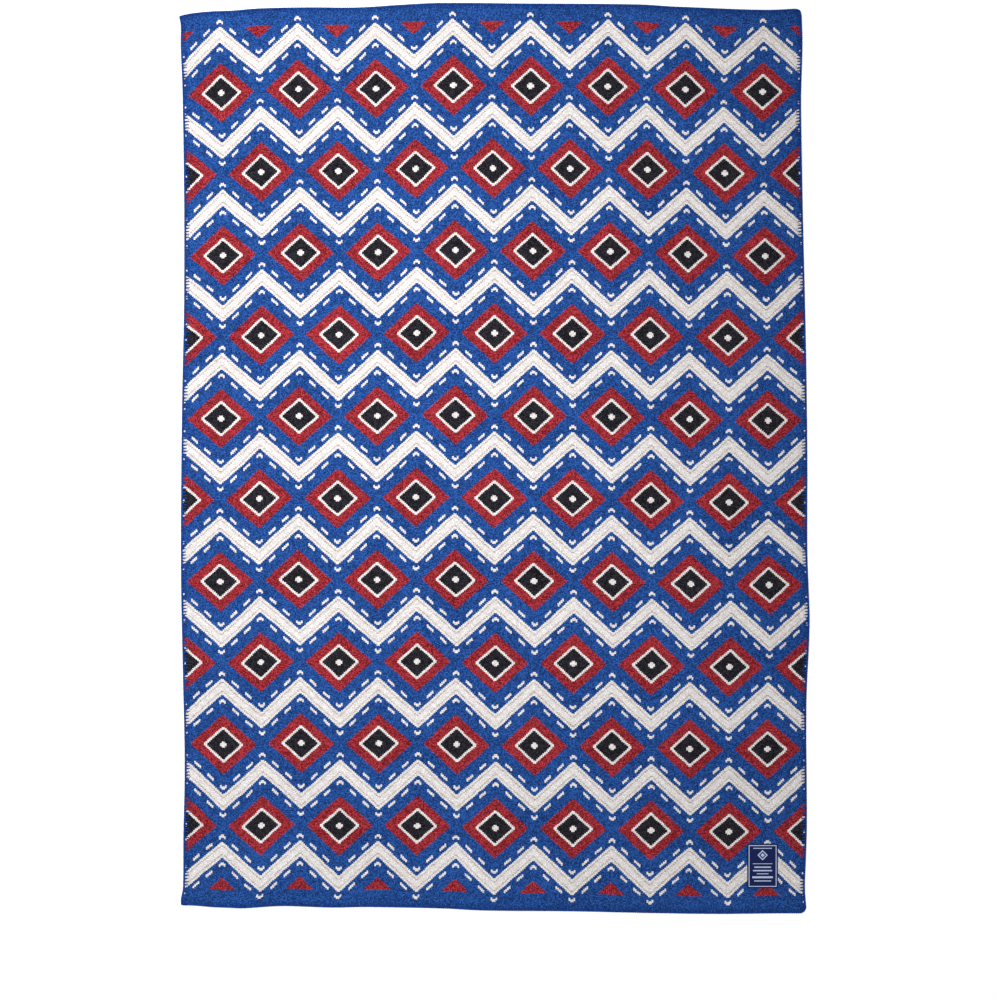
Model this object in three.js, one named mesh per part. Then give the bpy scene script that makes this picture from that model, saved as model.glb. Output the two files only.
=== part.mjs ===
// A wool throw laid out flat: one felted jacquard cloth with a whip-stitched edge, and the woven label
// that is sewn on near one corner. Millimetres, +Z up, +X across the cloth, +Y along it.
// The origin is on the floor, under the middle of the cloth's outline.
import * as THREE from "three";
import { mergeVertices } from "three/addons/utils/BufferGeometryUtils.js";

// Driving dimensions of the cloth
const CLOTH_WIDTH = 1270;
const CLOTH_LENGTH = 1840;
const GRID_STEP = 46; // widest cell of the sheet away from its edge
const CORNER_BLOCK = 16; // square at each corner in which the outline turns

// Section of the edge that the whip stitch draws into a soft bead: heights of both faces at each inset
const EDGE_SECTION = [
  { inset: 0, under: 1.2, top: 2.8 },
  { inset: 1.2, under: 0.4, top: 3.7 },
  { inset: 3.6, under: 0, top: 4.2 },
  { inset: 7, under: 0, top: 3.8 },
  { inset: 11, under: 0, top: 3.2 },
  { inset: CORNER_BLOCK, under: 0, top: 3 },
];
const CLOTH_TOP = EDGE_SECTION[EDGE_SECTION.length - 1].top;

// How far each side of the laid cloth stands out from its straight line, by the share of the side's length.
// The long sides run from the near end to the far end, the short sides from left to right.
const SIDE_LAY = {
  left: [
    { along: 0, out: 7 },
    { along: 0.008, out: 6 },
    { along: 0.02, out: 2 },
    { along: 0.08, out: 1 },
    { along: 0.16, out: -2 },
    { along: 0.26, out: 2 },
    { along: 0.38, out: 6 },
    { along: 0.55, out: 4 },
    { along: 0.7, out: -1 },
    { along: 0.82, out: 0 },
    { along: 0.92, out: 3 },
    { along: 0.965, out: 6 },
    { along: 0.99, out: 6 },
    { along: 1, out: 10 },
  ],
  right: [
    { along: 0, out: 1 },
    { along: 0.012, out: -2 },
    { along: 0.03, out: -4 },
    { along: 0.06, out: -2 },
    { along: 0.1, out: 0 },
    { along: 0.23, out: -1 },
    { along: 0.32, out: 5 },
    { along: 0.4, out: 1 },
    { along: 0.5, out: 1 },
    { along: 0.6, out: -1 },
    { along: 0.68, out: -4 },
    { along: 0.77, out: -8 },
    { along: 0.89, out: -12 },
    { along: 0.96, out: -9 },
    { along: 1, out: -11 },
  ],
  near: [
    { along: 0, out: -7 },
    { along: 0.02, out: -7 },
    { along: 0.05, out: -4 },
    { along: 0.075, out: -3 },
    { along: 0.1, out: -2 },
    { along: 0.16, out: -6 },
    { along: 0.24, out: -3 },
    { along: 0.3, out: -4 },
    { along: 0.42, out: -1 },
    { along: 0.48, out: 3 },
    { along: 0.6, out: 4 },
    { along: 0.74, out: 8 },
    { along: 0.85, out: 10 },
    { along: 0.95, out: 9 },
    { along: 1, out: 9 },
  ],
  far: [
    { along: 0, out: -20 },
    { along: 0.02, out: -15 },
    { along: 0.05, out: -11 },
    { along: 0.085, out: -9 },
    { along: 0.13, out: -4 },
    { along: 0.2, out: -2 },
    { along: 0.29, out: -2 },
    { along: 0.36, out: 3 },
    { along: 0.42, out: 7 },
    { along: 0.55, out: 6 },
    { along: 0.74, out: 4 },
    { along: 0.8, out: -1 },
    { along: 0.94, out: -7 },
    { along: 1, out: -4 },
  ],
};

// How much of its corner block each corner rounds off
const CORNER_ROUND = { nearLeft: 0.25, nearRight: 1, farLeft: 0.15, farRight: 0.7 };

// Low swells where the cloth stands off the floor: centre, half length, half width, turn of the length from +X
const SWELLS = [
  { x: -508, y: -880, reach: 230, half: 95, turn: 82, height: 3.5 },
  { x: -640, y: -610, reach: 260, half: 120, turn: 12, height: 3 },
  { x: -640, y: 400, reach: 300, half: 110, turn: -8, height: 3.5 },
  { x: -610, y: 905, reach: 260, half: 130, turn: -48, height: 4 },
  { x: -190, y: 910, reach: 240, half: 105, turn: 97, height: 3 },
  { x: 420, y: 905, reach: 260, half: 120, turn: 84, height: 3 },
  { x: 640, y: 640, reach: 280, half: 130, turn: 170, height: 3.5 },
  { x: 645, y: -330, reach: 300, half: 115, turn: 6, height: 3.5 },
  { x: 90, y: -900, reach: 220, half: 110, turn: 95, height: 2.5 },
  { x: -150, y: 330, reach: 420, half: 150, turn: 28, height: 1.8 },
  { x: 210, y: -260, reach: 460, half: 160, turn: -24, height: 1.8 },
];

// The label: its size, the gap to the cloth, and where its middle lies from the cloth's near right corner
const LABEL = { width: 62.5, length: 90.5, thick: 1, corner: 2, gap: 0.3, fromRight: 90.5, fromNear: 88 };

const CLOTH_LOOK = { color: 0x2e549c, roughness: 0.95, metalness: 0 };
const LABEL_LOOK = { color: 0x1b2a5c, roughness: 0.6, metalness: 0 };

// Value of a table's column at a key, on a smooth curve through the rows, level past both ends
function readTable(rows, keyName, valueName, key) {
  const last = rows.length - 1;
  const held = THREE.MathUtils.clamp(key, rows[0][keyName], rows[last][keyName]);
  const at = Math.min(rows.findLastIndex((row) => row[keyName] <= held), last - 1);
  const slopeAt = (i) => {
    const before = rows[Math.max(i - 1, 0)];
    const after = rows[Math.min(i + 1, last)];
    return (after[valueName] - before[valueName]) / (after[keyName] - before[keyName]);
  };
  const low = rows[at];
  const high = rows[at + 1];
  const gap = high[keyName] - low[keyName];
  const share = (held - low[keyName]) / gap;
  const ease = share * share * (3 - 2 * share);
  const leaving = slopeAt(at) * gap * share * (1 - share) ** 2;
  const arriving = slopeAt(at + 1) * gap * share ** 2 * (share - 1);
  return THREE.MathUtils.lerp(low[valueName], high[valueName], ease) + leaving + arriving;
}

// Distances from one side at which the sheet has a line of points: close at both edges, even between
function gridLines(size) {
  const edge = EDGE_SECTION.map((row) => row.inset);
  const middle = size - 2 * CORNER_BLOCK;
  const count = Math.ceil(middle / GRID_STEP);
  const even = Array.from({ length: count - 1 }, (_, i) => CORNER_BLOCK + (middle * (i + 1)) / count);
  return [...edge, ...even, ...edge.map((inset) => size - inset).reverse()];
}

// Place in the flat cut cloth with its corners rounded off. A corner block's square grid becomes a round one.
function roundedCorner(x, y) {
  const inX = Math.abs(x) - (CLOTH_WIDTH / 2 - CORNER_BLOCK);
  const inY = Math.abs(y) - (CLOTH_LENGTH / 2 - CORNER_BLOCK);
  if (inX <= 0 || inY <= 0) return { x, y };
  const corner = (y < 0 ? "near" : "far") + (x < 0 ? "Left" : "Right");
  const round = CORNER_ROUND[corner];
  const a = inX / CORNER_BLOCK;
  const b = inY / CORNER_BLOCK;
  const pullX = round * inX * (1 - Math.sqrt(1 - (b * b) / 2));
  const pullY = round * inY * (1 - Math.sqrt(1 - (a * a) / 2));
  return { x: x - Math.sign(x) * pullX, y: y - Math.sign(y) * pullY };
}

// Place of the same point in the laid cloth, whose sides run unevenly
function laidPoint(x, y) {
  const across = x / CLOTH_WIDTH + 0.5;
  const along = y / CLOTH_LENGTH + 0.5;
  const outAt = (side, share) => readTable(SIDE_LAY[side], "along", "out", share);
  return {
    x: x + THREE.MathUtils.lerp(-outAt("left", along), outAt("right", along), across),
    y: y + THREE.MathUtils.lerp(-outAt("near", across), outAt("far", across), along),
  };
}

// Height of the cloth's underside above the floor
function liftAt(x, y) {
  return SWELLS.reduce((sum, swell) => {
    const turn = THREE.MathUtils.degToRad(swell.turn);
    const dx = x - swell.x;
    const dy = y - swell.y;
    const alongSwell = (dx * Math.cos(turn) + dy * Math.sin(turn)) / swell.reach;
    const acrossSwell = (dy * Math.cos(turn) - dx * Math.sin(turn)) / swell.half;
    const fade = Math.max(0, 1 - alongSwell ** 2 - acrossSwell ** 2);
    return sum + swell.height * fade * fade;
  }, 0);
}

// The cloth as one sheet: a finely divided slab whose points are carried to their lines, edge section and lift
function makeCloth() {
  const linesX = gridLines(CLOTH_WIDTH);
  const linesY = gridLines(CLOTH_LENGTH);
  const cellsX = linesX.length - 1;
  const cellsY = linesY.length - 1;
  const slab = new THREE.BoxGeometry(cellsX, cellsY, 1, cellsX, cellsY, 1);
  slab.deleteAttribute("normal");
  slab.deleteAttribute("uv");
  const sheet = mergeVertices(slab);
  const points = sheet.getAttribute("position");
  for (let i = 0; i < points.count; i++) {
    const fromLeft = linesX[Math.round(points.getX(i) + cellsX / 2)];
    const fromNear = linesY[Math.round(points.getY(i) + cellsY / 2)];
    const inset = Math.min(fromLeft, CLOTH_WIDTH - fromLeft, fromNear, CLOTH_LENGTH - fromNear);
    const flat = roundedCorner(fromLeft - CLOTH_WIDTH / 2, fromNear - CLOTH_LENGTH / 2);
    const laid = laidPoint(flat.x, flat.y);
    const face = points.getZ(i) > 0 ? "top" : "under";
    const height = readTable(EDGE_SECTION, "inset", face, inset);
    points.setXYZ(i, laid.x, laid.y, liftAt(laid.x, laid.y) + height);
  }
  sheet.computeVertexNormals();
  const cloth = new THREE.Mesh(sheet, new THREE.MeshStandardMaterial(CLOTH_LOOK));
  cloth.name = "throw_cloth";
  return cloth;
}

// The label as a thin plate with rounded corners, lying just above the cloth
function makeLabel() {
  const halfWidth = LABEL.width / 2;
  const halfLength = LABEL.length / 2;
  const r = LABEL.corner;
  const outline = new THREE.Shape();
  outline.absarc(halfWidth - r, halfLength - r, r, 0, Math.PI / 2);
  outline.absarc(r - halfWidth, halfLength - r, r, Math.PI / 2, Math.PI);
  outline.absarc(r - halfWidth, r - halfLength, r, Math.PI, 1.5 * Math.PI);
  outline.absarc(halfWidth - r, r - halfLength, r, 1.5 * Math.PI, 2 * Math.PI);
  outline.closePath();
  const plate = new THREE.ExtrudeGeometry(outline, { depth: LABEL.thick, bevelEnabled: false, curveSegments: 4 });
  const label = new THREE.Mesh(plate, new THREE.MeshStandardMaterial(LABEL_LOOK));
  label.name = "woven_label";
  const x = CLOTH_WIDTH / 2 - LABEL.fromRight;
  const y = LABEL.fromNear - CLOTH_LENGTH / 2;
  label.position.set(x, y, CLOTH_TOP + LABEL.gap);
  return label;
}

const cloth = makeCloth();
const label = makeLabel();

// The laid outline is uneven, so the pieces move together until its middle is over the origin
const laid = new THREE.Group();
laid.add(cloth, label);
cloth.geometry.computeBoundingBox();
const middle = cloth.geometry.boundingBox.getCenter(new THREE.Vector3());
laid.position.set(-middle.x, -middle.y, 0);

const woolThrow = new THREE.Group();
woolThrow.add(laid);

export default woolThrow;
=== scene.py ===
# Wool throw laid out flat on a pale floor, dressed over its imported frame.
# Metres, +Z up, +X across the cloth, +Y along it to the end away from the label.
# Sizes in the dictionaries are millimetres where nothing else is said.
import math
import bpy
import numpy as np
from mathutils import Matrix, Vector


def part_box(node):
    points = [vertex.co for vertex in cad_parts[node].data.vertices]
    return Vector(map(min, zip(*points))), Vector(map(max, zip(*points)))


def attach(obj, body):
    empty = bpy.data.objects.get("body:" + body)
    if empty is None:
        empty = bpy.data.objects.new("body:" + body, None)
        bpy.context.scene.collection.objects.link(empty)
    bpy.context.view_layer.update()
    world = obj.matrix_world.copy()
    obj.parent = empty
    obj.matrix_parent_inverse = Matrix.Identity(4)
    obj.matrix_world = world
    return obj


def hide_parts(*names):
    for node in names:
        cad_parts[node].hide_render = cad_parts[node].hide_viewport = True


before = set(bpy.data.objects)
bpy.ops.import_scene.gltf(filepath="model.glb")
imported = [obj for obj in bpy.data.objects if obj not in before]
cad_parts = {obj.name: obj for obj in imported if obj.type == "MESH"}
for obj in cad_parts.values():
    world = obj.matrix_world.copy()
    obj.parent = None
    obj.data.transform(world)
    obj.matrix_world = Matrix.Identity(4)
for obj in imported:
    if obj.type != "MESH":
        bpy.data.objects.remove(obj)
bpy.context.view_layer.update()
clothLow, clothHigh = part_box("throw_cloth")
labelLow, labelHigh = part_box("woven_label")
mm = 0.001
fullTurn = 2 * math.pi
print("frame loaded:", sorted(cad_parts))


# Shared tools

# smooth curve through a table of (key, value) rows, level past both ends
def tableCurve(rows, key):
    keys, values = np.array(rows, float).T
    index = np.arange(len(keys))
    before = np.maximum(index - 1, 0)
    after = np.minimum(index + 1, len(keys) - 1)
    slope = (values[after] - values[before]) / (keys[after] - keys[before])
    held = np.clip(key, keys[0], keys[-1])
    at = np.clip(np.searchsorted(keys, held, side="right") - 1, 0, len(keys) - 2)
    gap = keys[at + 1] - keys[at]
    share = (held - keys[at]) / gap
    ease = share * share * (3 - 2 * share)
    leaving = slope[at] * gap * share * (1 - share) ** 2
    arriving = slope[at + 1] * gap * share ** 2 * (share - 1)
    return values[at] + (values[at + 1] - values[at]) * ease + leaving + arriving


# soft unevenness between 0 and 1: a seeded sum of long and short waves
def softWaves(x, y, waves):
    draw = np.random.default_rng(waves["seed"])
    total = np.zeros(np.shape(x))
    for _ in range(waves["count"]):
        heading = draw.uniform(0, fullTurn)
        pace = fullTurn / draw.uniform(waves["shortest"], waves["longest"])
        start = draw.uniform(0, fullTurn)
        total += np.sin((x * math.cos(heading) + y * math.sin(heading)) * pace + start)
    return 0.5 + 0.5 * np.tanh(total / math.sqrt(waves["count"]))


# grid over a flat cut: lines close at the edges, at the given insets, and even between.
# Gives places from the middle, and how far in from the nearest edge each one is
def flatGrid(width, length, edge, step):
    def lines(size):
        count = math.ceil((size - 2 * edge[-1]) / step)
        even = np.linspace(edge[-1], size - edge[-1], count + 1)[1:-1]
        return np.concatenate([edge, even, size - edge[::-1]])

    fromLeft, fromNear = np.meshgrid(lines(width), lines(length))
    inX = np.minimum(fromLeft, width - fromLeft)
    inY = np.minimum(fromNear, length - fromNear)
    return fromLeft - width / 2, fromNear - length / 2, np.minimum(inX, inY)


# the same places with the corners turned round inside a square block, by a share of the full round
def roundCorners(x, y, width, length, block, share):
    inX = np.maximum(np.abs(x) - (width / 2 - block), 0)
    inY = np.maximum(np.abs(y) - (length / 2 - block), 0)
    pullX = share * inX * (1 - np.sqrt(1 - (inY / block) ** 2 / 2))
    pullY = share * inY * (1 - np.sqrt(1 - (inX / block) ** 2 / 2))
    return x - np.sign(x) * pullX, y - np.sign(y) * pullY


# mesh object from arrays; every UV map is given per corner of every face
def meshPiece(name, points, faces, uvMaps, materials, faceMaterial=None):
    mesh = bpy.data.meshes.new(name)
    mesh.from_pydata(points.tolist(), [], faces)
    for uvName, corners in uvMaps.items():
        layer = mesh.uv_layers.new(name=uvName)
        layer.data.foreach_set("uv", np.asarray(corners, np.float32).ravel())
    for material in materials:
        mesh.materials.append(material)
    if faceMaterial is not None:
        mesh.polygons.foreach_set("material_index", np.asarray(faceMaterial, np.int32))
    mesh.polygons.foreach_set("use_smooth", np.ones(len(faces), bool))
    mesh.update()
    piece = bpy.data.objects.new(name, mesh)
    bpy.context.scene.collection.objects.link(piece)
    return piece


# closed thin sheet from a grid: top and under are (rows, columns, 3), flat is the place in the cut.
# Gives points, faces, each corner's place, and each face's kind: 0 upper, 1 lower, 2 rim
def sheetFaces(top, under, flat):
    rows, columns = top.shape[:2]
    index = np.arange(rows * columns).reshape(rows, columns)
    corners = index[:-1, :-1], index[:-1, 1:], index[1:, 1:], index[1:, :-1]
    upper = np.stack([corner.ravel() for corner in corners], 1)
    lower = upper[:, ::-1] + rows * columns
    rim = np.concatenate([index[0, :-1], index[:-1, -1], index[-1, :0:-1], index[:0:-1, 0]])
    turned = np.roll(rim, -1)
    wall = np.stack([turned, rim, rim + rows * columns, turned + rows * columns], 1)
    faces = np.concatenate([upper, lower, wall])
    place = np.tile(flat.reshape(-1, 2), (2, 1))[faces]
    kind = np.repeat([0, 1, 2], [len(upper), len(lower), len(wall)])
    points = np.concatenate([top.reshape(-1, 3), under.reshape(-1, 3)])
    return points, faces.tolist(), place, kind


# many round yarns as one mesh: paths are (count, points, 3), side leads across a path,
# thick is the yarn's radius
def yarnMesh(name, paths, side, thick, sides, material, closed=False, flat=1.0):
    count, steps = paths.shape[:2]
    if closed:
        ahead = np.roll(paths, -1, 1) - np.roll(paths, 1, 1)
    else:
        ahead = np.gradient(paths, axis=1)
    ahead = ahead / np.linalg.norm(ahead, axis=2, keepdims=True)
    across = side - (side * ahead).sum(2, keepdims=True) * ahead
    across = across / np.linalg.norm(across, axis=2, keepdims=True)
    above = np.cross(ahead, across) * flat
    turn = np.arange(sides) * fullTurn / sides
    ring = np.cos(turn)[:, None] * across[:, :, None] + np.sin(turn)[:, None] * above[:, :, None]
    points = paths[:, :, None] + thick[:, :, None, None] * ring
    # one band of faces from each ring of points to the next
    spans = steps if closed else steps - 1
    yarnStart = np.arange(count)[:, None] * steps
    first = (yarnStart + np.arange(spans)) * sides
    second = (yarnStart + (np.arange(spans) + 1) % steps) * sides
    here = np.arange(sides)
    there = (here + 1) % sides
    corners = [first[..., None] + here, first[..., None] + there]
    corners += [second[..., None] + there, second[..., None] + here]
    faces = np.stack(corners, -1).reshape(-1, 4).tolist()
    # UV map: length run along the yarn, and share of the way round it
    run = np.cumsum(np.linalg.norm(np.diff(paths, axis=1, append=paths[:, :1]), axis=2), axis=1)
    run = np.concatenate([np.zeros((count, 1)), run], 1)
    start = np.repeat(run[:, :spans, None], sides, 2)
    stop = np.repeat(run[:, 1:spans + 1, None], sides, 2)
    low = np.broadcast_to(here / sides, start.shape)
    high = np.broadcast_to((here + 1) / sides, start.shape)
    along = np.stack([start, start, stop, stop], -1)
    around = np.stack([low, high, high, low], -1)
    yarnUv = np.stack([along, around], -1).reshape(-1, 2)
    if not closed:
        head = yarnStart * sides + here[::-1]
        tail = (yarnStart + steps - 1) * sides + here
        faces += head.tolist() + tail.tolist()
        yarnUv = np.concatenate([yarnUv, np.zeros((2 * count * sides, 2))])
    return meshPiece(name, points.reshape(-1, 3), faces, {"yarnRun": yarnUv}, [material])


# Materials

# one socket of a material's nodes; sums on it add Math nodes
class Wire:
    def __init__(self, tree, socket=None):
        self.tree = tree
        self.socket = socket

    # any node by its type: settings first, then the values or links of its sockets
    def node(self, kind, settings=None, sockets=None, out=0):
        made = self.tree.nodes.new(kind)
        for name, value in (settings or {}).items():
            setattr(made, name, value)
        for key, value in (sockets or {}).items():
            if isinstance(value, Wire):
                self.tree.links.new(value.socket, made.inputs[key])
            else:
                made.inputs[key].default_value = value
        return Wire(self.tree, made.outputs[out] if made.outputs else None)

    def sums(self, operation, *values):
        return self.node("ShaderNodeMath", {"operation": operation}, dict(enumerate(values)))

    def vectorSums(self, operation, *values):
        return self.node("ShaderNodeVectorMath", {"operation": operation}, dict(enumerate(values)))

    def __add__(self, other):
        return self.sums("ADD", self, other)

    def __radd__(self, other):
        return self.sums("ADD", other, self)

    def __sub__(self, other):
        return self.sums("SUBTRACT", self, other)

    def __rsub__(self, other):
        return self.sums("SUBTRACT", other, self)

    def __mul__(self, other):
        return self.sums("MULTIPLY", self, other)

    def __rmul__(self, other):
        return self.sums("MULTIPLY", other, self)

    def __truediv__(self, other):
        return self.sums("DIVIDE", self, other)

    def __rtruediv__(self, other):
        return self.sums("DIVIDE", other, self)

    def __mod__(self, other):
        return self.sums("FLOORED_MODULO", self, other)

    def __rmod__(self, other):
        return self.sums("FLOORED_MODULO", other, self)

    def __lt__(self, other):
        return self.sums("LESS_THAN", self, other)

    def __gt__(self, other):
        return self.sums("GREATER_THAN", self, other)

    def __abs__(self):
        return self.sums("ABSOLUTE", self)

    def __floor__(self):
        return self.sums("FLOOR", self)

    def least(self, other):
        return self.sums("MINIMUM", self, other)

    def most(self, other):
        return self.sums("MAXIMUM", self, other)

    def sine(self):
        return self.sums("SINE", self)

    # colour between two, by a share; the node keeps its colours in sockets 6 and 7
    def blend(self, share, first, second):
        return self.node("ShaderNodeMix", {"data_type": "RGBA"}, {0: share, 6: first, 7: second}, 2)

    def noise(self, place, scale, detail=2.0, out=0):
        sockets = {"Vector": place, "Scale": scale, "Detail": detail}
        return self.node("ShaderNodeTexNoise", {"noise_dimensions": "3D"}, sockets, out)

    # noise about zero
    def swing(self, place, scale, detail=2.0):
        return self.noise(place, scale, detail) - 0.5

    def split(self):
        parts = self.node("ShaderNodeSeparateXYZ", None, {0: self}).socket.node
        return [Wire(self.tree, parts.outputs[i]) for i in range(3)]


def newMaterial(name):
    material = bpy.data.materials.new(name)
    material.use_nodes = True
    material.node_tree.nodes.clear()
    return material, Wire(material.node_tree)


# closes a material with one surface shader; fixed holds the values that are the same all over
def surface(wire, colour, roughness, height, relief, fixed):
    bump = wire.node("ShaderNodeBump", None, {"Strength": 1.0, "Distance": relief, "Height": height})
    sockets = {"Base Color": colour, "Roughness": roughness, "Normal": bump, **fixed}
    shader = wire.node("ShaderNodeBsdfPrincipled", None, sockets)
    wire.node("ShaderNodeOutputMaterial", None, {"Surface": shader})


# sRGB 0-255 to a linear colour
def tint(red, green, blue):
    shares = np.array([red, green, blue]) / 255
    linear = np.where(shares <= 0.04045, shares / 12.92, ((shares + 0.055) / 1.055) ** 2.4)
    return (*linear.tolist(), 1.0)


# dark and light fibre of each dyed wool
woolDyes = {
    "blue": (tint(8, 31, 76), tint(53, 107, 196)),
    "red": (tint(70, 2, 7), tint(208, 68, 78)),
    "white": (tint(201, 193, 190), tint(254, 254, 254)),
    "black": (tint(0, 0, 0), tint(58, 56, 65)),
    "grey": (tint(148, 139, 134), tint(228, 222, 218)),
}

# the woven design in threads: zigzag ribbons, mirrored row by row, with lozenges between them
woolDesign = {
    "repeat": (158.75 * mm, 167.27 * mm),     # one lozenge across, one row along
    "threads": (48, 56),                      # threads in a repeat
    "ribbonHalf": 6.0,
    "pinLine": (2.5, 3.5),                    # grey pick, out from the ribbon's middle
    "beads": (8.5, 10.5, 4.0),                # picks out from the ribbon's middle, threads in a bead
    "lozenge": 21.0,                          # half sizes, from the outer figure to the inner one
    "ring": 13.0,
    "core": 10.5,
    "eye": 2.5,
    "lastPick": 308,                          # from the middle of the cloth to its end
    "border": 12.0,                           # picks at both ends with no lozenges
}

# which dye each figure shows on the face and on the reverse of the double cloth
faceDyes = {"ground": "blue", "ribbon": "white", "pin": "grey", "lozenge": "red", "core": "black"}
reverseDyes = {"ground": "white", "ribbon": "blue", "pin": "blue", "lozenge": "black", "core": "red"}

# heather and nap: scales of noise over the cloth, and how much each one counts
woolNap = {
    # slow and fine drift of the yarns: scale, reach
    "wander": [(48.0, 1.5 * mm), (420.0, 1.1 * mm)],
    "scales": {"cloud": 7.0, "blotch": 465.0, "fibre": 900.0},
    "weft": (5.0, 70.0, 0),                   # scale of the streaks, which are long across the cloth
    "slowDetail": 3.0,                        # detail of the clouds and streaks, and of the drift
    "wanderDetail": 1.0,
    "tone": {"middle": 0.33, "cloud": 0.22, "streak": 0.187,
             "blotch": 2.4, "speck": 0.45, "fibre": 1.0},
    "stray": 0.7,                             # how far the lightest fibres stand out
    "height": {"middle": 0.5, "rib": 0.12, "blotch": 0.9, "fibre": 0.8},
    "rough": {"middle": 0.9, "fibre": 0.12},
    "relief": 0.9 * mm,
    "fixed": {"Specular IOR Level": 0.06, "Sheen Weight": 0.02, "Sheen Roughness": 0.5},
}


def woolMaterial(name, dyes):
    material, wire = newMaterial(name)
    flat = wire.node("ShaderNodeUVMap", {"uv_map": "flatCloth"})
    place = flat
    for scale, reach in woolNap["wander"]:
        pull = wire.noise(flat, scale, woolNap["wanderDetail"], "Color")
        pull = wire.vectorSums("MULTIPLY_ADD", pull, (2 * reach, 2 * reach, 0), (-reach, -reach, 0))
        place = wire.vectorSums("ADD", place, pull)
    x, y, _ = place.split()
    wide, tall = woolDesign["threads"]
    column = math.floor(x * (wide / woolDesign["repeat"][0]))
    row = math.floor(y * (tall / woolDesign["repeat"][1]))

    # heather: slow clouds, streaks along the weft, blotches, single picks and loose fibres
    thread = wire.node("ShaderNodeCombineXYZ", None, {0: column, 1: row})
    speck = wire.node("ShaderNodeTexWhiteNoise", {"noise_dimensions": "2D"}, {"Vector": thread}) - 0.5
    scales = woolNap["scales"]
    cloud = wire.swing(flat, scales["cloud"], woolNap["slowDetail"])
    streak = wire.swing(wire.vectorSums("MULTIPLY", flat, woolNap["weft"]), 1.0, woolNap["slowDetail"])
    blotch = wire.swing(flat, scales["blotch"])
    fibre = wire.swing(flat, scales["fibre"])
    share = woolNap["tone"]
    grain = blotch * share["blotch"] + speck * share["speck"] + fibre * share["fibre"]
    slow = cloud * share["cloud"] + streak * share["streak"]
    tone = share["middle"] + slow + grain * (1 + grain * woolNap["stray"])
    wool = {dye: wire.blend(tone, *shades) for dye, shades in woolDyes.items()}

    # distance in picks from the nearest ribbon's middle
    fold = abs(column % wide + (0.5 - wide / 2))
    ribbonRow = math.floor(row / tall + 0.5)
    lean = 1 - 2 * (ribbonRow % 2)
    away = abs(row + 0.5 - ribbonRow * tall - lean * (fold - wide / 4))
    near, far = woolDesign["pinLine"]
    pin = (away > near) * (away < far)
    first, last, size = woolDesign["beads"]
    beads = (away > first) * (away < last) * ((fold + size / 2) % (2 * size) < size)

    # distance from the nearest lozenge's middle, every other row half a repeat aside
    lozengeRow = math.floor(row / tall)
    shifted = (column + (lozengeRow % 2) * (wide / 2)) % wide
    reach = abs(shifted + (0.5 - wide / 2)) + abs(row + 0.5 - (lozengeRow + 0.5) * tall)
    fromEnd = woolDesign["lastPick"] - abs(row + 0.5)

    # each figure lies over those before it
    figures = [
        (reach < woolDesign["lozenge"], "lozenge"),
        (reach < woolDesign["ring"], "ribbon"),
        (reach < woolDesign["core"], "core"),
        (reach < woolDesign["eye"], "ribbon"),
        (fromEnd < woolDesign["border"], "ground"),
        (beads, "ribbon"),
        (away < woolDesign["ribbonHalf"], "ribbon"),
        (pin, "pin"),
    ]
    colour = wool[dyes["ground"]]
    for mask, figure in figures:
        colour = wire.blend(mask, colour, wool[dyes[figure]])

    # felted picks: low rounded rows under a nap of loose fibres
    rib = (y * (fullTurn * tall / woolDesign["repeat"][1]) + (column % 2) * math.pi).sine()
    rise = woolNap["height"]
    height = rise["middle"] + rib * rise["rib"] + blotch * rise["blotch"] + fibre * rise["fibre"]
    roughness = woolNap["rough"]["middle"] + fibre * woolNap["rough"]["fibre"]
    surface(wire, colour, roughness, height, woolNap["relief"], woolNap["fixed"])
    return material


# how plied yarn shows its twist and stray fibres
yarnTwist = {
    "blotchScale": 160.0,
    "fibreScale": 1500.0,
    "tone": {"middle": 0.5, "twist": 0.16, "blotch": 1.3, "fibre": 0.9},
    "height": {"middle": 0.5, "twist": 0.3, "fibre": 0.6},
    "rough": {"middle": 0.86, "fibre": 0.2},
}


def yarnMaterial(name, yarn):
    material, wire = newMaterial(name)
    along, around, _ = wire.node("ShaderNodeUVMap", {"uv_map": "yarnRun"}).split()
    body = wire.node("ShaderNodeTexCoord", out="Object")
    twist = ((along / yarn["plyRun"] + around) * fullTurn).sine()
    blotch = wire.swing(body, yarnTwist["blotchScale"])
    fibre = wire.swing(body, yarnTwist["fibreScale"])
    share, rise, rough = yarnTwist["tone"], yarnTwist["height"], yarnTwist["rough"]
    tone = share["middle"] + twist * share["twist"] + blotch * share["blotch"] + fibre * share["fibre"]
    height = rise["middle"] + twist * rise["twist"] + fibre * rise["fibre"]
    colour = wire.blend(tone, yarn["dark"], yarn["light"])
    roughness = rough["middle"] + fibre * rough["fibre"]
    surface(wire, colour, roughness, height, yarn["relief"], yarn["fixed"])
    return material


# The cloth

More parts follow.
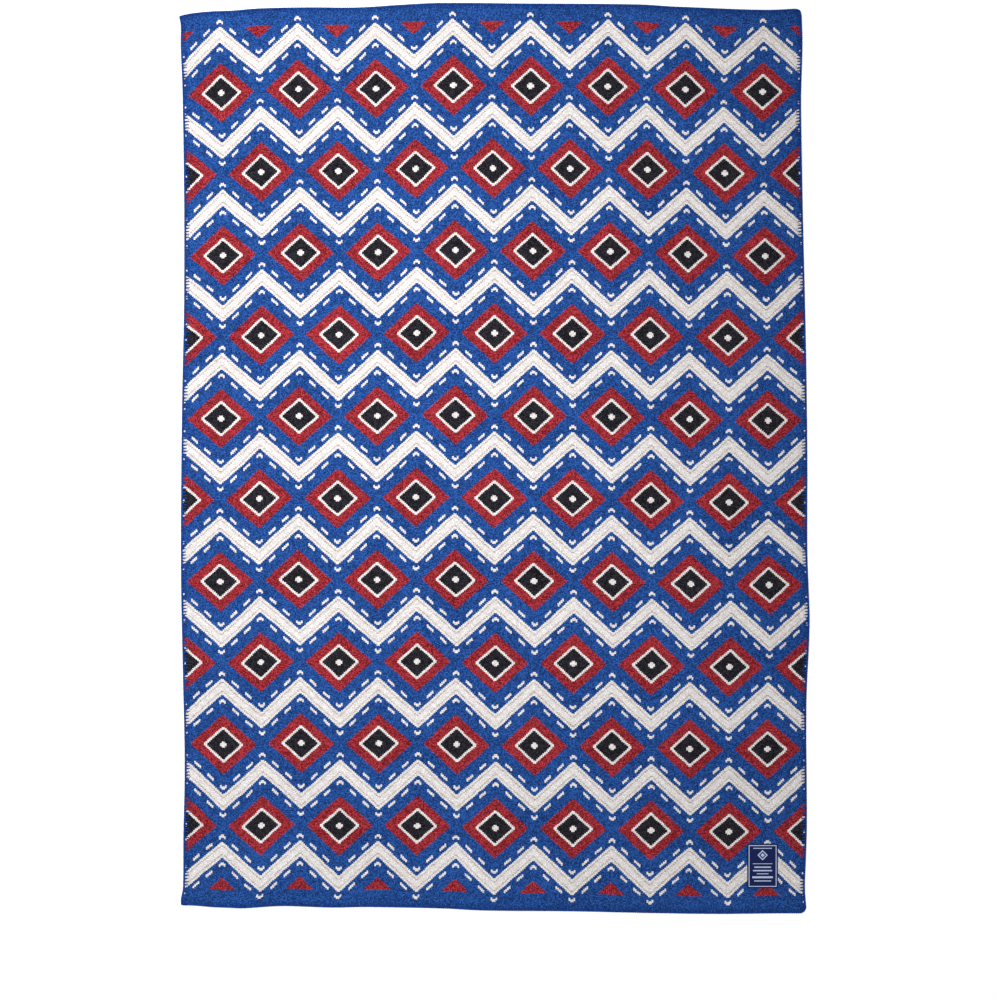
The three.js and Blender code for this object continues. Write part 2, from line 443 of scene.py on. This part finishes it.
throwCloth = {
    "width": 1270,              # the flat cut
    "length": 1840,
    "step": 7.5,                # widest cell away from the edge
    "cornerBlock": 16,          # square at each corner in which the outline turns
    "cornerRound": {(-1, -1): 0.25, (1, -1): 1.0, (-1, 1): 0.15, (1, 1): 0.7},
    # heights of both faces by inset; the raw edge stays inside the cord
    "under": [(0.8, 1.3), (1.8, 0.8), (3.6, 0.6), (7, 0.5), (11, 0.2), (16, 0)],
    "top": [(0.8, 2.5), (1.8, 2.9), (3.6, 3.1), (7, 3.1), (11, 3.0), (16, 3.0)],
    # how far each side stands out from its straight line, by the share of its length
    "left": [(0, 7), (0.008, 6), (0.02, 2), (0.08, 1), (0.16, -2), (0.26, 2), (0.38, 6), (0.55, 4),
             (0.7, -1), (0.82, 0), (0.92, 3), (0.965, 6), (0.99, 6), (1, 10)],
    "right": [(0, 1), (0.012, -2), (0.03, -4), (0.06, -2), (0.1, 0), (0.23, -1), (0.32, 5), (0.4, 1),
              (0.5, 1), (0.6, -1), (0.68, -4), (0.77, -8), (0.89, -12), (0.96, -9), (1, -11)],
    "near": [(0, -7), (0.02, -7), (0.05, -4), (0.075, -3), (0.1, -2), (0.16, -6), (0.24, -3),
             (0.3, -4), (0.42, -1), (0.48, 3), (0.6, 4), (0.74, 8), (0.85, 10), (0.95, 9), (1, 9)],
    "far": [(0, -20), (0.02, -15), (0.05, -11), (0.085, -9), (0.13, -4), (0.2, -2), (0.29, -2),
            (0.36, 3), (0.42, 7), (0.55, 6), (0.74, 4), (0.8, -1), (0.94, -7), (1, -4)],
    # low swells off the floor: x, y, half length, half width, turn in degrees, height
    "swells": [
        (-508, -880, 230, 95, 82, 3.5),
        (-640, -610, 260, 120, 12, 3),
        (-640, 400, 300, 110, -8, 3.5),
        (-610, 905, 260, 130, -48, 4),
        (-190, 910, 240, 105, 97, 3),
        (420, 905, 260, 120, 84, 3),
        (640, 640, 280, 130, 170, 3.5),
        (645, -330, 300, 115, 6, 3.5),
        (90, -900, 220, 110, 95, 2.5),
        (-150, 330, 420, 150, 28, 1.8),
        (210, -260, 460, 160, -24, 1.8),
    ],
    # soft creases from being folded away: start, end, half width, height
    "creases": [
        (-352, 960, -362, 150, 26, 1.7),
        (128, 800, 96, 330, 26, 1.6),
        (96, 350, -170, 120, 30, 1.4),
        (470, -980, 452, -420, 26, 1.2),
    ],
    "creaseFade": 0.2,          # share of a crease at each end in which it dies away
    "cockle": {"seed": 11, "count": 40, "shortest": 34, "longest": 140},
    "cockleHeight": 0.55,
    # start and size across the baked picture of the face, the reverse and the rim
    "bakeShare": {"top": (0.002, 0.798), "under": (0.806, 0.184), "rim": (0.996, 0.003)},
}


# place in the laid cloth of a point of the flat cut
def laidPoint(x, y):
    width, length = throwCloth["width"], throwCloth["length"]
    roundShare = np.zeros(np.shape(x))
    for (sideX, sideY), share in throwCloth["cornerRound"].items():
        roundShare = np.where((np.sign(x) == sideX) & (np.sign(y) == sideY), share, roundShare)
    x, y = roundCorners(x, y, width, length, throwCloth["cornerBlock"], roundShare)
    across = x / width + 0.5
    along = y / length + 0.5
    left, right = -tableCurve(throwCloth["left"], along), tableCurve(throwCloth["right"], along)
    near, far = -tableCurve(throwCloth["near"], across), tableCurve(throwCloth["far"], across)
    return x + left + (right - left) * across, y + near + (far - near) * along


# height of the cloth's underside above the floor, with its small cockles
def liftAt(x, y):
    lift = throwCloth["cockleHeight"] * softWaves(x, y, throwCloth["cockle"])
    for midX, midY, reach, half, turn, height in throwCloth["swells"]:
        lead, cross = math.cos(math.radians(turn)), math.sin(math.radians(turn))
        along = ((x - midX) * lead + (y - midY) * cross) / reach
        aside = ((y - midY) * lead - (x - midX) * cross) / half
        lift = lift + height * np.maximum(0, 1 - along ** 2 - aside ** 2) ** 2
    for startX, startY, endX, endY, half, height in throwCloth["creases"]:
        reach = math.hypot(endX - startX, endY - startY)
        lead, cross = (endX - startX) / reach, (endY - startY) / reach
        run = ((x - startX) * lead + (y - startY) * cross) / reach
        aside = ((y - startY) * lead - (x - startX) * cross) / half
        fade = np.clip(np.minimum(run, 1 - run) / throwCloth["creaseFade"], 0, 1)
        lift = lift + height * fade * np.maximum(0, 1 - aside ** 2) ** 2
    return lift


# heights of both faces at a place with a given inset
def clothHeights(x, y, inset):
    lift = liftAt(x, y)
    return lift + tableCurve(throwCloth["top"], inset), lift + tableCurve(throwCloth["under"], inset)


def makeCloth(materials):
    width, length = throwCloth["width"], throwCloth["length"]
    edge = np.array([inset for inset, _ in throwCloth["top"]], float)
    flatX, flatY, inset = flatGrid(width, length, edge, throwCloth["step"])
    x, y = laidPoint(flatX, flatY)
    middle = np.array([x.min() + x.max(), y.min() + y.max()]) / 2
    seat = np.array([clothLow.x + clothHigh.x, clothLow.y + clothHigh.y]) / 2 / mm
    shift = seat - middle
    placed = np.stack([x + shift[0], y + shift[1]], 2)
    top, under = [np.dstack([placed, height]) for height in clothHeights(x, y, inset)]
    flat = np.stack([flatX, flatY], 2)
    points, faces, place, kind = sheetFaces(top * mm, under * mm, flat * mm)
    # most of the baked picture goes to the face, a strip to the reverse, a thread's breadth to the rim
    bake = place / (width * mm, length * mm) + 0.5
    for number, name in enumerate(("top", "under")):
        start, size = throwCloth["bakeShare"][name]
        bake[kind == number, :, 0] = start + size * bake[kind == number, :, 0]
    start, size = throwCloth["bakeShare"]["rim"]
    wall = kind == 2
    run = np.linspace(0, 1, wall.sum() + 1)
    bake[wall, :, 0] = start + size * np.array([1, 1, 0, 0])
    bake[wall, :, 1] = np.stack([run[1:], run[:-1], run[:-1], run[1:]], 1)
    uvMaps = {"flatCloth": place.reshape(-1, 2), "OFBake": bake.reshape(-1, 2)}
    piece = meshPiece("throwCloth", points, faces, uvMaps, materials, np.where(kind == 1, 1, 0))
    return piece, shift


woolFace = woolMaterial("woolFace", faceDyes)
woolReverse = woolMaterial("woolReverse", reverseDyes)
cloth, layShift = makeCloth([woolFace, woolReverse])
print("cloth:", len(cloth.data.polygons), "faces")


# The sewn edge

edgeSewing = {
    "outlineStep": 1.0,         # between points of the outline
    "outlineReach": 3.0,        # to both sides of a point, for its direction
    "pitch": 6.4,               # from stitch to stitch
    "bite": 11.4,               # how far in from the edge a stitch reaches
    "thick": 1.5,               # half width of the yarn
    "flat": 0.6,                # its height for its width
    "sides": 6,
    "seed": 23,
    "loose": {"pitch": 0.3, "bite": 0.6, "slant": 0.5, "thick": 0.07},
    # one stitch over the edge: share of the bite, height from the near face,
    # 1 for over and -1 for under, share of the yarn's width
    "path": [(1.0, -0.8, 1, 0.4), (0.92, 0.15, 1, 0.55), (0.7, 0.4, 1, 0.75), (0.42, 0.55, 1, 1.0),
             (0.2, 0.55, 1, 1.2), (0.08, 0.1, 1, 1.15), (0.05, -1.0, 1, 1.0), (0.09, -0.1, -1, 1.0),
             (0.2, -0.2, -1, 1.0), (0.45, -0.25, -1, 1.0), (0.75, -0.2, -1, 0.9), (1.0, 0.7, -1, 0.6)],
    "slant": 0.4,               # share of a pitch that a stitch gains from its start to its end
    "slantFrom": 0.25,          # share of the stitch at which it crosses its own place
    "yarn": {
        "dark": tint(5, 28, 83),
        "light": tint(34, 79, 161),
        "plyRun": 4.5 * mm,
        "relief": 0.35 * mm,
        "fixed": {"Specular IOR Level": 0.06, "Sheen Weight": 0.02, "Sheen Roughness": 0.5},
    },
}

edgeCord = {
    "inset": 2.1,               # middle of the cord, in from the edge
    "height": 2.55,
    "strands": 3,
    "strandThick": 1.3,
    "coil": 1.1,                # radius at which the strands wind round each other
    "turnsPerStitch": 0.5,
    "steps": 5,                 # points for each stitch's pitch
    "sides": 6,
}


# the laid outline, anticlockwise from the near left corner, with its run
def clothOutline():
    halfWide, halfLong = throwCloth["width"] / 2, throwCloth["length"] / 2
    wide, long = [np.arange(-half, half, edgeSewing["outlineStep"]) for half in (halfWide, halfLong)]
    flatX = np.concatenate([wide, np.full_like(long, halfWide), -wide, np.full_like(long, -halfWide)])
    flatY = np.concatenate([np.full_like(wide, -halfLong), long, np.full_like(wide, halfLong), -long])
    x, y = laidPoint(flatX, flatY)
    x, y = np.append(x, x[0]), np.append(y, y[0])
    run = np.concatenate([[0], np.cumsum(np.hypot(np.diff(x), np.diff(y)))])
    return x, y, run


outlineX, outlineY, outlineRun = clothOutline()
stitchCount = round(outlineRun[-1] / edgeSewing["pitch"])


# points at given runs along the outline, and the directions out of the cloth and ahead there
def outlineAt(run):
    def at(place):
        place = np.mod(place, outlineRun[-1])
        x = np.interp(place, outlineRun, outlineX)
        y = np.interp(place, outlineRun, outlineY)
        return np.stack([x, y], -1)

    ahead = at(run + edgeSewing["outlineReach"]) - at(run - edgeSewing["outlineReach"])
    ahead = ahead / np.linalg.norm(ahead, axis=-1, keepdims=True)
    return at(run), np.stack([ahead[..., 1], -ahead[..., 0]], -1), ahead


def makeEdgeStitches(material):
    draw = np.random.default_rng(edgeSewing["seed"])
    loose = edgeSewing["loose"]
    pitch = outlineRun[-1] / stitchCount
    run = (np.arange(stitchCount) + 0.5) * pitch + draw.normal(0, loose["pitch"], stitchCount)
    bite = edgeSewing["bite"] + draw.normal(0, loose["bite"], stitchCount)
    thick = edgeSewing["thick"] * (1 + draw.normal(0, loose["thick"], stitchCount))
    lean = draw.normal(0, loose["slant"], stitchCount)
    inShare, height, face, taper = np.array(edgeSewing["path"]).T
    inset = bite[:, None] * inShare
    gain = np.linspace(0, 1, len(face)) - edgeSewing["slantFrom"]
    slip = (lean[:, None] + edgeSewing["slant"] * pitch) * gain
    edge, outward, ahead = outlineAt(np.repeat(run[:, None], len(face), 1))
    spot = edge - outward * inset[..., None] + ahead * slip[..., None]
    top, under = clothHeights(spot[..., 0], spot[..., 1], inset)
    lowest = liftAt(spot[..., 0], spot[..., 1]) + edgeSewing["flat"] * thick[:, None]
    z = np.maximum(np.where(face > 0, top, under) + height, lowest)
    paths = np.dstack([spot + layShift, z]) * mm
    side = np.dstack([ahead, np.zeros_like(z)])
    thick = thick[:, None] * taper * mm
    sides, flat = edgeSewing["sides"], edgeSewing["flat"]
    return yarnMesh("edgeStitches", paths, side, thick, sides, material, flat=flat)


def makeEdgeCord(material):
    steps = stitchCount * edgeCord["steps"]
    edge, outward, _ = outlineAt(np.arange(steps) * outlineRun[-1] / steps)
    turns = round(stitchCount * edgeCord["turnsPerStitch"])
    paths = []
    for strand in range(edgeCord["strands"]):
        angle = fullTurn * (turns * np.arange(steps) / steps + strand / edgeCord["strands"])
        aside = edgeCord["inset"] + edgeCord["coil"] * np.cos(angle)
        spot = edge - outward * aside[:, None]
        z = liftAt(edge[:, 0], edge[:, 1]) + edgeCord["height"] + edgeCord["coil"] * np.sin(angle)
        paths.append(np.column_stack([spot + layShift, z]))
    paths = np.array(paths)
    side = np.zeros_like(paths)
    side[..., 2] = 1
    thick = np.full(paths.shape[:2], edgeCord["strandThick"])
    return yarnMesh("edgeCord", paths * mm, side, thick * mm, edgeCord["sides"], material, closed=True)


edgeYarn = yarnMaterial("edgeYarn", edgeSewing["yarn"])
stitches = makeEdgeStitches(edgeYarn)
cordPiece = makeEdgeCord(edgeYarn)
print("edge:", len(stitches.data.polygons), "faces, cord:", len(cordPiece.data.polygons))


# The label

labelWide, labelTall = (labelHigh.x - labelLow.x) / mm, (labelHigh.y - labelLow.y) / mm
labelMiddle = np.array([labelLow.x + labelHigh.x, labelLow.y + labelHigh.y]) / 2 / mm

wovenLabel = {
    "step": 1.5,
    "under": [(0, 0.25), (0.5, 0.05), (1.4, 0), (2.6, 0)],      # heights above the cloth by inset
    "top": [(0, 0.6), (0.5, 0.95), (1.4, 0.72), (2.6, 1.0)],
    "clear": 0.1,               # gap to the cloth
    "corner": 2.0,
    "pucker": 0.1,              # rise of the edge between stitches
    "puckerRun": 2.5,           # stitches from one rise to the next
    "puckerFade": 2.0,          # how far in from the edge it dies away
    "frameLine": (2.9, 4.5),    # in from the edge
    # plain bars: height of the middle, half length, half height
    "bars": [(36.0, 19.0, 0.8), (4.5, 20.0, 0.6), (-2.5, 17.0, 1.3), (-9.5, 19.5, 1.3),
             (-16.0, 12.0, 0.8), (-23.0, 21.0, 1.9), (-30.5, 17.5, 1.0)],
    "lozenge": (22.0, 10.5),    # height of its middle, half size
    "lozengeRing": 0.72,        # inner size of its ring, and size of its core, by its half size
    "lozengeCore": 0.4,
    "ground": (tint(2, 11, 54), tint(20, 40, 98)),
    "pale": (tint(138, 156, 204), tint(222, 233, 255)),
    "pickPitch": 0.55,
    "warpPitch": 0.4,
    "fineScale": 0.9,           # noise that unsettles the threads
    "drift": 0.7,               # how far it moves the figures' edges, and the long sides of the bars
    "barDrift": 0.35,
    "tone": {"middle": 0.5, "pick": 0.1, "fine": 0.9},
    "height": {"middle": 0.5, "pick": 0.22, "warp": 0.1, "figure": 0.3, "fine": 0.3},
    "rough": {"middle": 0.55, "fine": 0.2, "figure": 0.08},
    "relief": 0.18 * mm,
    "fixed": {"Specular IOR Level": 0.12},
}

labelSeam = {
    "inset": 1.4,
    "pitch": 2.9,
    "thick": 0.24,
    "sides": 6,
    # one stitch: share of the pitch, height over the label, share of the thread's width
    "path": [(0.04, -0.16, 0.6), (0.18, 0.08, 1), (0.5, 0.2, 1), (0.82, 0.08, 1), (0.96, -0.16, 0.6)],
    "yarn": {
        "dark": tint(8, 16, 56),
        "light": tint(28, 42, 92),
        "plyRun": 0.9 * mm,
        "relief": 0.08 * mm,
        "fixed": {"Specular IOR Level": 0.25},
    },
}


def labelMaterial():
    material, wire = newMaterial("labelSatin")
    spot = wire.node("ShaderNodeUVMap", {"uv_map": "labelFace"})
    x, y, _ = spot.split()
    fine = wire.swing(spot, wovenLabel["fineScale"])
    drift = fine * wovenLabel["drift"]
    inset = (labelWide / 2 - abs(x)).least(labelTall / 2 - abs(y)) + drift
    near, far = wovenLabel["frameLine"]
    figure = (inset > near) * (inset < far)
    barDrift = fine * wovenLabel["barDrift"]
    for middle, reach, rise in wovenLabel["bars"]:
        figure = figure.most((abs(x) + drift < reach) * (abs(y - middle) + barDrift < rise))
    middle, size = wovenLabel["lozenge"]
    diamond = abs(x) + abs(y - middle) + drift
    ring = (diamond < size) * (diamond > size * wovenLabel["lozengeRing"])
    figure = figure.most(ring + (diamond < size * wovenLabel["lozengeCore"]))
    pick = (y * (fullTurn / wovenLabel["pickPitch"])).sine()
    warp = (x * (fullTurn / wovenLabel["warpPitch"])).sine()
    share, rise, rough = wovenLabel["tone"], wovenLabel["height"], wovenLabel["rough"]
    tone = share["middle"] + pick * share["pick"] + fine * share["fine"]
    ground = wire.blend(tone, *wovenLabel["ground"])
    pale = wire.blend(tone, *wovenLabel["pale"])
    colour = wire.blend(figure, ground, pale)
    weave = rise["middle"] + pick * rise["pick"] + warp * rise["warp"]
    height = weave + figure * rise["figure"] + fine * rise["fine"]
    roughness = rough["middle"] + fine * rough["fine"] + figure * rough["figure"]
    surface(wire, colour, roughness, height, wovenLabel["relief"], wovenLabel["fixed"])
    return material


# height of the cloth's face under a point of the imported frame
def clothTop(x, y):
    return liftAt(x - layShift[0], y - layShift[1]) + throwCloth["top"][-1][1]


def makeLabel(material):
    edge = np.array([inset for inset, _ in wovenLabel["top"]])
    flatX, flatY, inset = flatGrid(labelWide, labelTall, edge, wovenLabel["step"])
    x, y = roundCorners(flatX, flatY, labelWide, labelTall, wovenLabel["corner"], 1.0)
    placed = np.stack([x + labelMiddle[0], y + labelMiddle[1]], 2)
    # the edge rises a little between the stitches
    along = np.where(labelWide / 2 - np.abs(flatX) < labelTall / 2 - np.abs(flatY), flatY, flatX)
    wave = 0.5 + 0.5 * np.cos(along * fullTurn / (wovenLabel["puckerRun"] * labelSeam["pitch"]))
    pucker = wovenLabel["pucker"] * wave * np.exp(-inset / wovenLabel["puckerFade"])
    base = clothTop(placed[..., 0], placed[..., 1]) + wovenLabel["clear"] + pucker
    top = np.dstack([placed, base + tableCurve(wovenLabel["top"], inset)])
    under = np.dstack([placed, base + tableCurve(wovenLabel["under"], inset)])
    points, faces, place, _ = sheetFaces(top * mm, under * mm, np.stack([flatX, flatY], 2))
    return meshPiece("wovenLabel", points, faces, {"labelFace": place.reshape(-1, 2)}, [material])


def makeLabelStitches(material):
    halfWide, halfTall = labelWide / 2 - labelSeam["inset"], labelTall / 2 - labelSeam["inset"]
    corners = np.array([(-1, -1), (1, -1), (1, 1), (-1, 1)]) * (halfWide, halfTall)
    sewn = wovenLabel["clear"] + tableCurve(wovenLabel["top"], labelSeam["inset"])
    share, rise, taper = np.array(labelSeam["path"]).T
    paths, sides = [], []
    for start, stop in zip(corners, np.roll(corners, -1, 0)):
        length = np.linalg.norm(stop - start)
        count = round(length / labelSeam["pitch"])
        lead = (stop - start) / length
        run = (np.arange(count)[:, None] + share) * length / count
        spot = start + lead * run[..., None] + labelMiddle
        z = clothTop(spot[..., 0], spot[..., 1]) + sewn + rise
        paths.append(np.dstack([spot, z]))
        sides.append(np.broadcast_to([lead[1], -lead[0], 0.0], (count, len(share), 3)))
    paths, sides = np.concatenate(paths), np.concatenate(sides)
    thick = np.broadcast_to(labelSeam["thick"] * taper, paths.shape[:2])
    return yarnMesh("labelStitches", paths * mm, sides, thick * mm, labelSeam["sides"], material)


labelThread = yarnMaterial("labelThread", labelSeam["yarn"])
label = makeLabel(labelMaterial())
labelSewing = makeLabelStitches(labelThread)
print("label:", len(label.data.polygons), "faces,", len(labelSewing.data.polygons), "in its stitches")


# Floor, light and camera

# metres here
studio = {
    "floorReach": 45.0,         # flat floor, out from the middle
    "sweep": 14.0,              # radius of its bend up into a far backdrop
    "sweepSteps": 12,
    "floorSides": 96,
    "floorTint": (tint(250, 250, 250), tint(253, 253, 253)),
    "floorCloud": {"scale": 1.2, "detail": 3.0},
    "floorGrain": {"scale": 260.0, "rough": 0.1, "relief": 0.02 * mm},
    "floorRough": 0.75,
    "floorSpecular": 0.2,
    "floorGlow": 0.38,          # keeps the floor white where the key falls off
    "ambient": 0.737,
    "keyPlace": (-0.15, 0.6, 1.75),
    "keyTarget": (-2.85, 0.3, 0.25),     # it is turned away to the left
    "keyPower": 41.4,                    # watts
    "keySize": 2.0,
    "keyTint": (1.0, 0.985, 0.97),
    "lens": 85.0,               # lens and sensor in millimetres
    "sensor": 36.0,
    "farClip": 200.0,
    "frameWidth": 2.0385,       # across the picture at the cloth
    "aim": (0.0114, -0.0848),   # point of the cloth in the middle of the picture
}


def floorMaterial():
    material, wire = newMaterial("paleFloor")
    body = wire.node("ShaderNodeTexCoord", out="Object")
    cloud = wire.noise(body, studio["floorCloud"]["scale"], studio["floorCloud"]["detail"])
    grain = wire.swing(body, studio["floorGrain"]["scale"])
    colour = wire.blend(cloud, *studio["floorTint"])
    roughness = studio["floorRough"] + grain * studio["floorGrain"]["rough"]
    glow = {"Emission Color": (1, 1, 1, 1), "Emission Strength": studio["floorGlow"]}
    fixed = {"Specular IOR Level": studio["floorSpecular"], **glow}
    surface(wire, colour, roughness, grain, studio["floorGrain"]["relief"], fixed)
    return material


# a round floor: one flat middle, then rings that bend up
def makeFloor():
    reach, bend, sides = studio["floorReach"], studio["sweep"], studio["floorSides"]
    rise = np.linspace(0, math.pi / 2, studio["sweepSteps"])
    out = np.append(reach - bend, reach + bend * np.sin(rise))
    high = np.append(0, bend * (1 - np.cos(rise)))
    here = np.arange(sides)
    there = np.roll(here, -1)
    turn = here * fullTurn / sides
    rings = [np.outer(out, np.cos(turn)), np.outer(out, np.sin(turn)), np.outer(high, np.ones(sides))]
    faces = [here.tolist()]
    for first in range(0, (len(out) - 1) * sides, sides):
        faces += (first + np.stack([here, here + sides, there + sides, there], 1)).tolist()
    return meshPiece("paleFloor", np.dstack(rings).reshape(-1, 3), faces, {}, [floorMaterial()])


def makeLights():
    lamp = bpy.data.lights.new("softKey", "AREA")
    lamp.energy = studio["keyPower"]
    lamp.size = studio["keySize"]
    lamp.color = studio["keyTint"]
    lampObject = bpy.data.objects.new("softKey", lamp)
    lampObject.location = studio["keyPlace"]
    aim = Vector(studio["keyTarget"]) - Vector(studio["keyPlace"])
    lampObject.rotation_euler = aim.to_track_quat("-Z", "Y").to_euler()
    lampObject.visible_camera = False
    bpy.context.scene.collection.objects.link(lampObject)
    world = bpy.data.worlds.new("studioAir")
    world.use_nodes = True
    world.node_tree.nodes.clear()
    wire = Wire(world.node_tree)
    air = {"Color": (1, 1, 1, 1), "Strength": studio["ambient"]}
    background = wire.node("ShaderNodeBackground", None, air)
    wire.node("ShaderNodeOutputWorld", None, {"Surface": background})
    bpy.context.scene.world = world


# straight above the cloth, at the height from which the picture is as wide as the photo's
def makeCamera():
    data = bpy.data.cameras.new("photoCamera")
    data.lens = studio["lens"]
    data.sensor_width = studio["sensor"]
    data.clip_end = studio["farClip"]
    camera = bpy.data.objects.new("photoCamera", data)
    height = studio["frameWidth"] * data.lens / data.sensor_width + throwCloth["top"][-1][1] * mm
    camera.location = (*studio["aim"], height)
    bpy.context.scene.collection.objects.link(camera)
    bpy.context.scene.camera = camera


floor = makeFloor()
makeLights()
makeCamera()
bpy.context.scene.view_settings.view_transform = "Standard"
print("studio ready")


# Frame

for piece in (cloth, stitches, cordPiece, label, labelSewing):
    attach(piece, "root")
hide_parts("throw_cloth")
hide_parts("woven_label")
